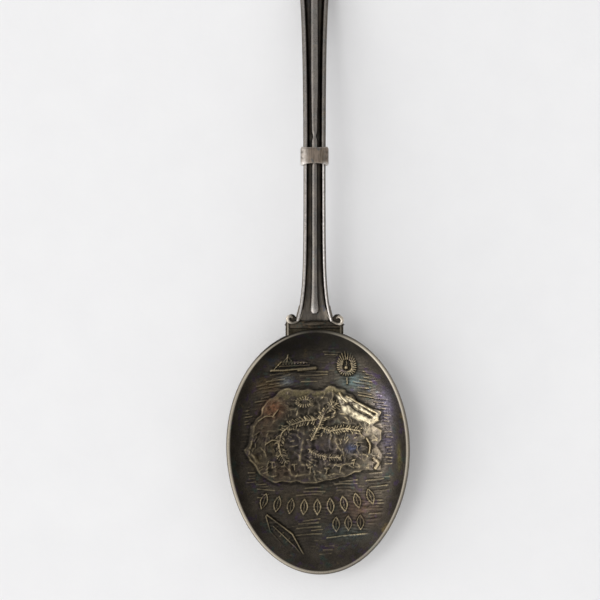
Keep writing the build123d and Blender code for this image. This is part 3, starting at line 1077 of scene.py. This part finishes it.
# %% [markdown]
# ## The head
#
# The stem ends in an oval bezel. In it lies a medallion with a pricked ground, a rope runs round its
# edge, and a palm stands on the medallion. The bezel is an oval cylinder: its top is inset for the
# wall, then pushed down for the pocket.

# %% Bezel
head_middle, head_half_x, head_half_y, head_height = 58.5, 9.0, 11.5, 2.0
bezel_wall, pocket_floor = 1.15, 0.7

clean_start()
half_up = head_height / 2
bpy.ops.mesh.primitive_cylinder_add(vertices=128, radius=1, depth=head_height, location=(0, 0, half_up))
bezel = name_piece("head_bezel")
set_points(bezel, points(bezel) * (head_half_x, head_half_y, 1) + (0, head_middle, 0))
pick(bezel, "FACE", looks_up)
bpy.ops.mesh.inset(thickness=bezel_wall)
bpy.ops.mesh.extrude_region_move(TRANSFORM_OT_translate={"value": (0, 0, pocket_floor - head_height)})
clean_start()
soften(bezel, 0.22, 50)
apply_all(bezel)
bezel.data.transform(Matrix.Scale(mm, 4))
outward(bezel)
smooth(bezel, 50)
report(bezel)

# %% [markdown]
# The rope is one slanted bead, a squeezed sphere, copied all the way round. Each copy has a mesh of
# its own, so that its place can be baked in, and the beads are joined at the end.

# %% Rope
rope_x, rope_y = head_half_x - bezel_wall / 2, head_half_y - bezel_wall / 2
rope_beads = 84
clean_start()
bpy.ops.mesh.primitive_uv_sphere_add(segments=10, ring_count=7, radius=1)
bead = name_piece("rope_bead")
rope_parts = []
for place in range(rope_beads):
    angle = math.tau * place / rope_beads
    copy = bead.copy()
    copy.data = bead.data.copy()
    bpy.context.collection.objects.link(copy)
    c, s = math.cos(angle), math.sin(angle)
    heading = math.atan2(rope_y * c, -rope_x * s)
    bead_place = (
        Matrix.Translation((rope_x * c, head_middle + rope_y * s, head_height + 0.12))
        @ Matrix.Rotation(heading + math.radians(38), 4, "Z")
        @ Matrix.Diagonal((0.62, 0.3, 0.42, 1))
    )
    copy.data.transform(Matrix.Scale(mm, 4) @ bead_place)
    rope_parts.append(copy)
bpy.data.objects.remove(bead)
take(rope_parts[0])
for part in rope_parts:
    part.select_set(True)
bpy.ops.object.join()
rope = name_piece("rope_border_beads")
smooth(rope)
report(rope)

# %% [markdown]
# The medallion is a grid bent into an oval, as the bowl was. Its ground is pricked by a punch, and
# below the palm lie a shore and a few waves. The soft hills come from the same function as before,
# which reads X and Y, so these two now hold the plate's own places.

# %% Medallion
clean_start()
bpy.ops.mesh.primitive_grid_add(x_subdivisions=120, y_subdivisions=150, size=2)
medallion = name_piece("medallion_plate")
u, v = disc(medallion)
med_x, med_y = head_half_x - bezel_wall - 0.05, head_half_y - bezel_wall - 0.05
X, Y = u * med_x, v * med_y
share = np.hypot(u, v)
stipple = 0.05 * wander(0.32, 31) + 0.03 * wander(0.18, 32)
level = 1.28 + stipple * (1 - ramp(share, 0.88, 0.92)) + 0.12 * ramp(share, 0.93, 0.96)
shore_line = 0.18 * np.exp(-(((Y + 5.6 - 0.25 * np.sin(X * 0.7)) / 0.5) ** 2)) * (share < 0.9)
swell = 0.07 * np.sin(Y * 7 + 1.2 * np.sin(X)) * ramp(-Y, 6.0, 6.6) * (share < 0.88)
set_points(medallion, np.column_stack((X, Y + head_middle, level + shore_line + swell)) * mm)
thicken(medallion, 0.5 * mm, -1)
paint(medallion, "worn", ramp(share, 0.9, 0.95) + 0.2 * ramp(stipple, 0.045, 0.07))
paint(medallion, "sunk", 0.7 * ramp(-stipple, -0.04, -0.02))
apply_all(medallion)
outward(medallion)
smooth(medallion, 50)
report(medallion)

# %% [markdown]
# ## The palm
#
# The palm is modelled as wires too: a bowed trunk with rings, and fronds that each have a midrib and
# leaflets on both sides. One function makes a frond from its bearing, so the crown is a loop.

# %% Palm
palm_crown, palm_root, palm_level = (0.5, 61.3), (-0.9, 53.2), 1.55


def leaflet(x, y, angle, bend, long):
    """A short tapered strand that leaves at an angle and ends bent back towards the midrib."""
    tip = angle - bend
    return [
        (x, y, palm_level + 0.1, 0.1),
        (x + long / 2 * math.cos(angle), y + long / 2 * math.sin(angle), palm_level + 0.06, 0.1),
        (x + long * math.cos(tip), y + long * math.sin(tip), palm_level - 0.1, 0.03),
    ]


def frond(bearing, reach, droop):
    """Midrib and leaflets of one frond, from the crown outwards."""
    out_x, out_y = reach * math.cos(bearing), reach * math.sin(bearing)

    def on_midrib(t):
        return palm_crown[0] + out_x * t, palm_crown[1] + out_y * t - droop * t * t

    midrib = []
    for step in range(7):
        t = step / 6
        height = palm_level + 0.22 * math.sin(math.pi * t) - 0.12 * t
        midrib.append((*on_midrib(t), height, 0.17 * (1 - 0.75 * t)))
    leaflets = []
    for step in range(2, 14):
        t = step / 14
        heading = math.atan2(out_y - 2 * droop * t, out_x)
        long = 1.15 * (1 - 0.55 * t)
        for side in (-1, 1):
            leaflets.append(leaflet(*on_midrib(t), heading + side * 0.75, side * 0.35, long))
    return [midrib, *leaflets]


def on_trunk(t):
    """Place on the bowed trunk, a share t of the way up."""
    x = palm_root[0] + (palm_crown[0] - palm_root[0]) * t + 0.9 * math.sin(math.pi * t)
    return x, palm_root[1] + (palm_crown[1] - palm_root[1]) * t


crown = [
    # bearing in degrees, reach, droop
    (-30, 3.4, 1.6), (5, 4.3, 1.2), (38, 4.4, 0.6), (72, 3.9, 0.1),
    (105, 3.8, 0.1), (142, 4.5, 0.6), (176, 4.6, 1.3), (212, 3.6, 1.7),
]
strands = []
for bearing, reach, droop in crown:
    strands += frond(math.radians(bearing), reach, droop)
strands.append([(*on_trunk(step / 8), palm_level - 0.05, 0.42 - 0.17 * step / 8) for step in range(9)])
for ring in range(12):
    t = (ring + 0.5) / 12
    x, y = on_trunk(t)
    half = 0.4 - 0.14 * t
    top = (x, y - 0.1, palm_level + half * 0.95, 0.09)
    strands.append([(x - half, y, palm_level, 0.07), top, (x + half, y, palm_level, 0.07)])
for tuft in range(9):
    x, y = palm_root[0] - 2.0 + 0.5 * tuft, palm_root[1]
    tip = (x + 0.15, y + 0.6, palm_level - 0.05, 0.04)
    strands.append([(x, y - 0.5, palm_level - 0.1, 0.2), (x, y, palm_level, 0.14), tip])
palm = wires("palm_relief", strands, fine=3, around=2)
paint(palm, "worn", np.full(len(palm.data.vertices), 0.75))
palm.data.transform(Matrix.Scale(mm, 4))
outward(palm)
smooth(palm, 60)
report(palm)

# %% [markdown]
# ## The finish: old silver
#
# Silver tarnishes in thin films, so its dark parts are never one grey: they run through brown, violet, blue
# and green. Rubbed places stay a warm white. Every piece gets the same recipe with its own amounts. The
# colour goes from tarnish to bare metal by the attributes that were painted on the meshes, which in places
# also hold painted highlight and painted shade. The hollows get painted shade once more from ambient
# occlusion, and fine noise breaks up the gloss.

# %% Short words for nodes
def put(tree, kind, settings=None, **sockets):
    """Add a node. A socket gets a number, a colour, or the output that feeds it."""
    node = tree.nodes.new(kind)
    for key, value in (settings or {}).items():
        setattr(node, key, value)
    for key, value in sockets.items():
        socket = node.inputs[int(key[1:])] if key[0] == "i" and key[1:].isdigit() else node.inputs[key]
        if isinstance(value, bpy.types.NodeSocket):
            tree.links.new(value, socket)
        else:
            socket.default_value = value
    return node


def blend(tree, factor, first, second):
    """Mix two colours. Sockets 0, 6 and 7 are the factor and the colours, 2 is the result."""
    node = put(tree, "ShaderNodeMix", {"data_type": "RGBA"}, i0=factor, i6=first, i7=second)
    return node.outputs[2]


def between(tree, value, low, high, to_low=0.0, to_high=1.0):
    """Carry a value from one range to another, and no further."""
    node = put(tree, "ShaderNodeMapRange", None, i0=value, i1=low, i2=high, i3=to_low, i4=to_high)
    return node.outputs[0]


def clouds(tree, place, size, detail=3.0, stretch=(1, 1, 1)):
    """Noise whose cells are about `size` millimetres wide, or wider along a stretched axis."""
    finer = [1 / (size * mm * s) for s in stretch]
    scaled = put(tree, "ShaderNodeMapping", None, i0=place, i3=finer).outputs[0]
    noise = put(tree, "ShaderNodeTexNoise", None, i0=scaled, Scale=1.0, Detail=detail, Roughness=0.55)
    return noise.outputs[0]


def painted(tree, name):
    return put(tree, "ShaderNodeAttribute", {"attribute_name": name}).outputs[2]


def times(tree, a, b):
    """The product of two values, held between 0 and 1."""
    return put(tree, "ShaderNodeMath", {"operation": "MULTIPLY", "use_clamp": True}, i0=a, i1=b).outputs[0]


# %% Old silver
dirt, deep_dirt_and_shade, shadow_dirt = (0.02, 0.018, 0.015, 1), (0.012, 0.011, 0.009, 1), (0.014, 0.013, 0.011, 1)


def old_silver(
    name, tarnish, second, bright, films,
    film_size=3.0, roughness=(0.3, 0.5), grain=0.25, brush=(1, 1, 1), hollow=0.8, spotted=False,
):
    """Tarnished silver. `films` holds colours of thin tarnish, each with the share it may cover."""
    material = bpy.data.materials.new(name)
    material.use_nodes = True
    tree = material.node_tree
    shader = tree.nodes["Principled BSDF"]
    shader.inputs["Metallic"].default_value = 1.0
    place = put(tree, "ShaderNodeTexCoord").outputs["Object"]

    cloudy = between(tree, clouds(tree, place, film_size), 0.35, 0.65)
    colour = blend(tree, cloudy, (*tarnish, 1), (*second, 1))
    for turn, (film, share) in enumerate(films):
        aside = (0.031 * turn + 0.01, 0.017 * turn, 0)
        moved = put(tree, "ShaderNodeMapping", None, i0=place, i1=aside).outputs[0]
        patch = clouds(tree, moved, film_size * (0.55 + 0.2 * turn), 4.0)
        covered = between(tree, patch, 0.72 - 0.3 * share, 0.84 - 0.3 * share)
        colour = blend(tree, covered, colour, (*film, 1))

    if spotted:
        spot = put(tree, "ShaderNodeAttribute", {"attribute_name": "film"})
        broken = between(tree, clouds(tree, place, 0.7, 5.0), 0.3, 0.62, 0.35, 1.0)
        covered = times(tree, spot.outputs["Alpha"], broken)
        colour = blend(tree, covered, colour, spot.outputs["Color"])

    streak = clouds(tree, place, 0.3, 4.0, brush)
    colour = blend(tree, between(tree, streak, 0.4, 0.7, 0.0, 0.5), colour, dirt)
    speckle = clouds(tree, place, 0.28, 4.0)
    rubbed = times(tree, painted(tree, "worn"), between(tree, speckle, 0.3, 0.7, 0.45, 1.15))
    colour = blend(tree, rubbed, colour, (*bright, 1))
    # the painted sunk amount darkens the colour: dirt in hollows, and painted shade on the bowl's wall and
    # top end and in the stem's right groove
    sunk = times(tree, painted(tree, "sunk"), hollow)
    colour = blend(tree, sunk, colour, deep_dirt_and_shade)
    # painted shade in recesses, from ambient occlusion
    open_air = put(tree, "ShaderNodeAmbientOcclusion", {"samples": 6}, Distance=0.9 * mm).outputs["AO"]
    colour = blend(tree, between(tree, open_air, 0.25, 0.85, 0.9 * hollow, 0.0), colour, shadow_dirt)

    fine = clouds(tree, place, 0.12, 5.0, brush)
    shader.inputs["Roughness"].default_value = 0.4
    dull = between(tree, fine, 0.3, 0.7, *roughness)
    if spotted:
        polish_and_sheen = painted(tree, "polish_and_sheen")
        dull = put(tree, "ShaderNodeMix", {"data_type": "FLOAT"}, i0=polish_and_sheen, i2=dull, i3=0.08).outputs[0]
    tree.links.new(dull, shader.inputs["Roughness"])
    bumps = put(tree, "ShaderNodeBump", None, Strength=grain, Distance=0.02 * mm, Height=fine)
    tree.links.new(bumps.outputs[0], shader.inputs["Normal"])
    tree.links.new(colour, shader.inputs["Base Color"])
    return material, tree, shader, colour, place


def coat(piece, material):
    """Give a piece its one finish."""
    piece.data.materials.clear()
    piece.data.materials.append(material)


# %% [markdown]
# The bowl gets the painted films and the polish, and two more coats on top: the plateau of the island,
# which is rubbed to bare metal, and the rim, which is rubbed bare and also carries painted highlight and
# painted shade. The stem is cleaner, because it is held.

# %% Silver of the bowl
violet, steel_blue = (0.074, 0.051, 0.085), (0.050, 0.068, 0.105)
sea_green, straw = (0.060, 0.080, 0.066), (0.19, 0.14, 0.066)
bowl_silver, tree, shader, colour, place = old_silver(
    "bowl_silver", (0.052, 0.044, 0.035), (0.095, 0.080, 0.061), (0.66, 0.53, 0.31),
    [(violet, 0.5), (sea_green, 0.45), (straw, 0.3), (steel_blue, 0.2)],
    roughness=(0.22, 0.42), spotted=True,
)
patchy = between(tree, clouds(tree, place, 0.8), 0.35, 0.62)
plateau_here = times(tree, painted(tree, "plateau"), patchy)
colour = blend(tree, plateau_here, colour, (0.80, 0.70, 0.48, 1))
# the rim attribute brings bare metal from wear, with painted highlight and painted shade that follow the
# bearing
colour = blend(tree, painted(tree, "rim"), colour, (0.92, 0.82, 0.65, 1))
tree.links.new(colour, shader.inputs["Base Color"])

# %% Silver of the stem, the collar and the head
stem_silver, *_ = old_silver(
    "stem_silver", (0.12, 0.108, 0.095), (0.18, 0.155, 0.125), (0.86, 0.81, 0.76),
    [((0.10, 0.125, 0.12), 0.45), ((0.21, 0.16, 0.105), 0.3), ((0.10, 0.108, 0.135), 0.25)],
    film_size=2.4, roughness=(0.24, 0.4), brush=(1, 12, 1), hollow=0.22,
)
yoke_silver, *_ = old_silver(
    "yoke_silver", (0.052, 0.045, 0.036), (0.105, 0.085, 0.062), (0.80, 0.72, 0.60),
    [(sea_green, 0.45), ((0.17, 0.12, 0.07), 0.35)], film_size=1.6,
)
collar_silver, *_ = old_silver(
    "collar_silver", (0.31, 0.25, 0.20), (0.23, 0.185, 0.14), (0.80, 0.76, 0.71),
    [((0.18, 0.175, 0.165), 0.4), ((0.34, 0.28, 0.21), 0.3)],
    film_size=1.8, roughness=(0.35, 0.6), grain=0.5, brush=(1, 9, 1),
)
head_silver, *_ = old_silver(
    "head_silver", (0.082, 0.068, 0.057), (0.14, 0.115, 0.092), (0.66, 0.59, 0.50),
    [(violet, 0.35), (sea_green, 0.3), (straw, 0.25)], film_size=3.0,
)

for piece in (bowl, shoulders):
    coat(piece, bowl_silver)
for piece in (yoke, upper_moulding, lower_moulding, scrolls, *beds):
    coat(piece, yoke_silver)
for piece in (lower_stem, lower_reed, upper_stem, upper_reed):
    coat(piece, stem_silver)
coat(collar, collar_silver)
for piece in (bezel, rope, medallion, palm):
    coat(piece, head_silver)

# %% [markdown]
# ## Floor, light and camera
#
# The spoon lies on pale board. A small soft lamp stands low at the left, as a window does, and makes
# the shine in the bowl. A second one, high at the left, lights the board and is kept out of the
# reflections. The room is bright on the window's side and dim elsewhere. A mirror-like thing shows
# its surroundings, so that dim ceiling is what makes the flat silver look dark.

# %% Floor
clean_start()
bpy.ops.mesh.primitive_plane_add(size=3)
board = name_piece("pale_board")
board_finish = bpy.data.materials.new("pale_board")
board_finish.use_nodes = True
tree = board_finish.node_tree
shader = tree.nodes["Principled BSDF"]
shader.inputs["Roughness"].default_value = 0.9
place = put(tree, "ShaderNodeTexCoord").outputs["Object"]
mottle = between(tree, clouds(tree, place, 9.0, 5.0), 0.3, 0.7)
paper = blend(tree, mottle, (0.855, 0.852, 0.848, 1), (0.875, 0.872, 0.866, 1))
tree.links.new(paper, shader.inputs["Base Color"])
tooth = clouds(tree, place, 0.9, 4.0)
pits = put(tree, "ShaderNodeBump", None, Strength=0.25, Distance=0.1 * mm, Height=tooth)
tree.links.new(pits.outputs[0], shader.inputs["Normal"])
coat(board, board_finish)

# %% Light
def lamp(name, place, aim, width, height, watts):
    """A soft rectangular lamp that looks at a point."""
    clean_start()
    bpy.ops.object.light_add(type="AREA", location=place)
    light = bpy.context.object
    light.name = name
    light.data.shape = "RECTANGLE"
    light.data.size = width
    light.data.size_y = height
    light.data.energy = watts
    light.rotation_euler = (Vector(aim) - Vector(place)).to_track_quat("-Z", "Y").to_euler()
    return light


lamp("window", (-0.58, -0.40, 0.195), (0, -0.03, 0.005), 0.10, 0.08, 0.2)
high_lamp = lamp("high_lamp", (-0.44, 0.08, 1.12), (0, -0.02, 0), 0.32, 0.32, 1.7)
high_lamp.visible_glossy = False

room = bpy.data.worlds.new("pale_room")
bpy.context.scene.world = room
room.use_nodes = True
tree = room.node_tree
way = put(tree, "ShaderNodeTexCoord").outputs["Generated"]
bright_side = Vector((-0.9, -0.36, 0.24)).normalized()
towards = put(tree, "ShaderNodeVectorMath", {"operation": "DOT_PRODUCT"}, i0=way, i1=bright_side)
daylight = put(
    tree, "ShaderNodeMapRange", {"interpolation_type": "SMOOTHSTEP"},
    i0=towards.outputs["Value"], i1=0.3, i2=0.9, i3=0.62, i4=1.9,
)
sky = tree.nodes["Background"]
sky.inputs["Color"].default_value = (0.985, 0.985, 1.0, 1)
tree.links.new(daylight.outputs[0], sky.inputs["Strength"])

# %% [markdown]
# The camera looks straight down from half a metre, with a long lens, so the spoon keeps its shape.

# %% Camera
bpy.ops.object.camera_add(location=(-2.6 * mm, -20.3 * mm, 509 * mm), rotation=(0, 0, 0))
camera = bpy.context.object
camera.name = "camera"
camera.data.lens = 166.7
camera.data.sensor_width = 36
bpy.context.scene.camera = camera
bpy.context.scene.view_settings.view_transform = "Standard"

# %% [markdown]
# ## Join the looks to the frame
#
# Every piece rides on the root body, and the engineering pieces that the new ones stand for are hidden.

# %% Ride, and hide the replaced pieces
stem_pieces = (lower_stem, lower_reed, upper_stem, upper_reed)
yoke_pieces = (yoke, upper_moulding, lower_moulding, scrolls, *beds)
slots = {
    "bowl_silver": (bowl, shoulders),
    "stem_silver": (*stem_pieces, *yoke_pieces),
    "collar_silver": (collar,),
    "head_silver": (bezel, rope, medallion, palm),
}
for slot_name, pieces in slots.items():
    for piece in pieces:
        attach(piece, "root")
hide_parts("bowl")
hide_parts("scroll_yoke")
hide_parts("lower_stem")
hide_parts("upper_stem")
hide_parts("collar")
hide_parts("rope_border")
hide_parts("medallion")
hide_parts("palm_emblem")
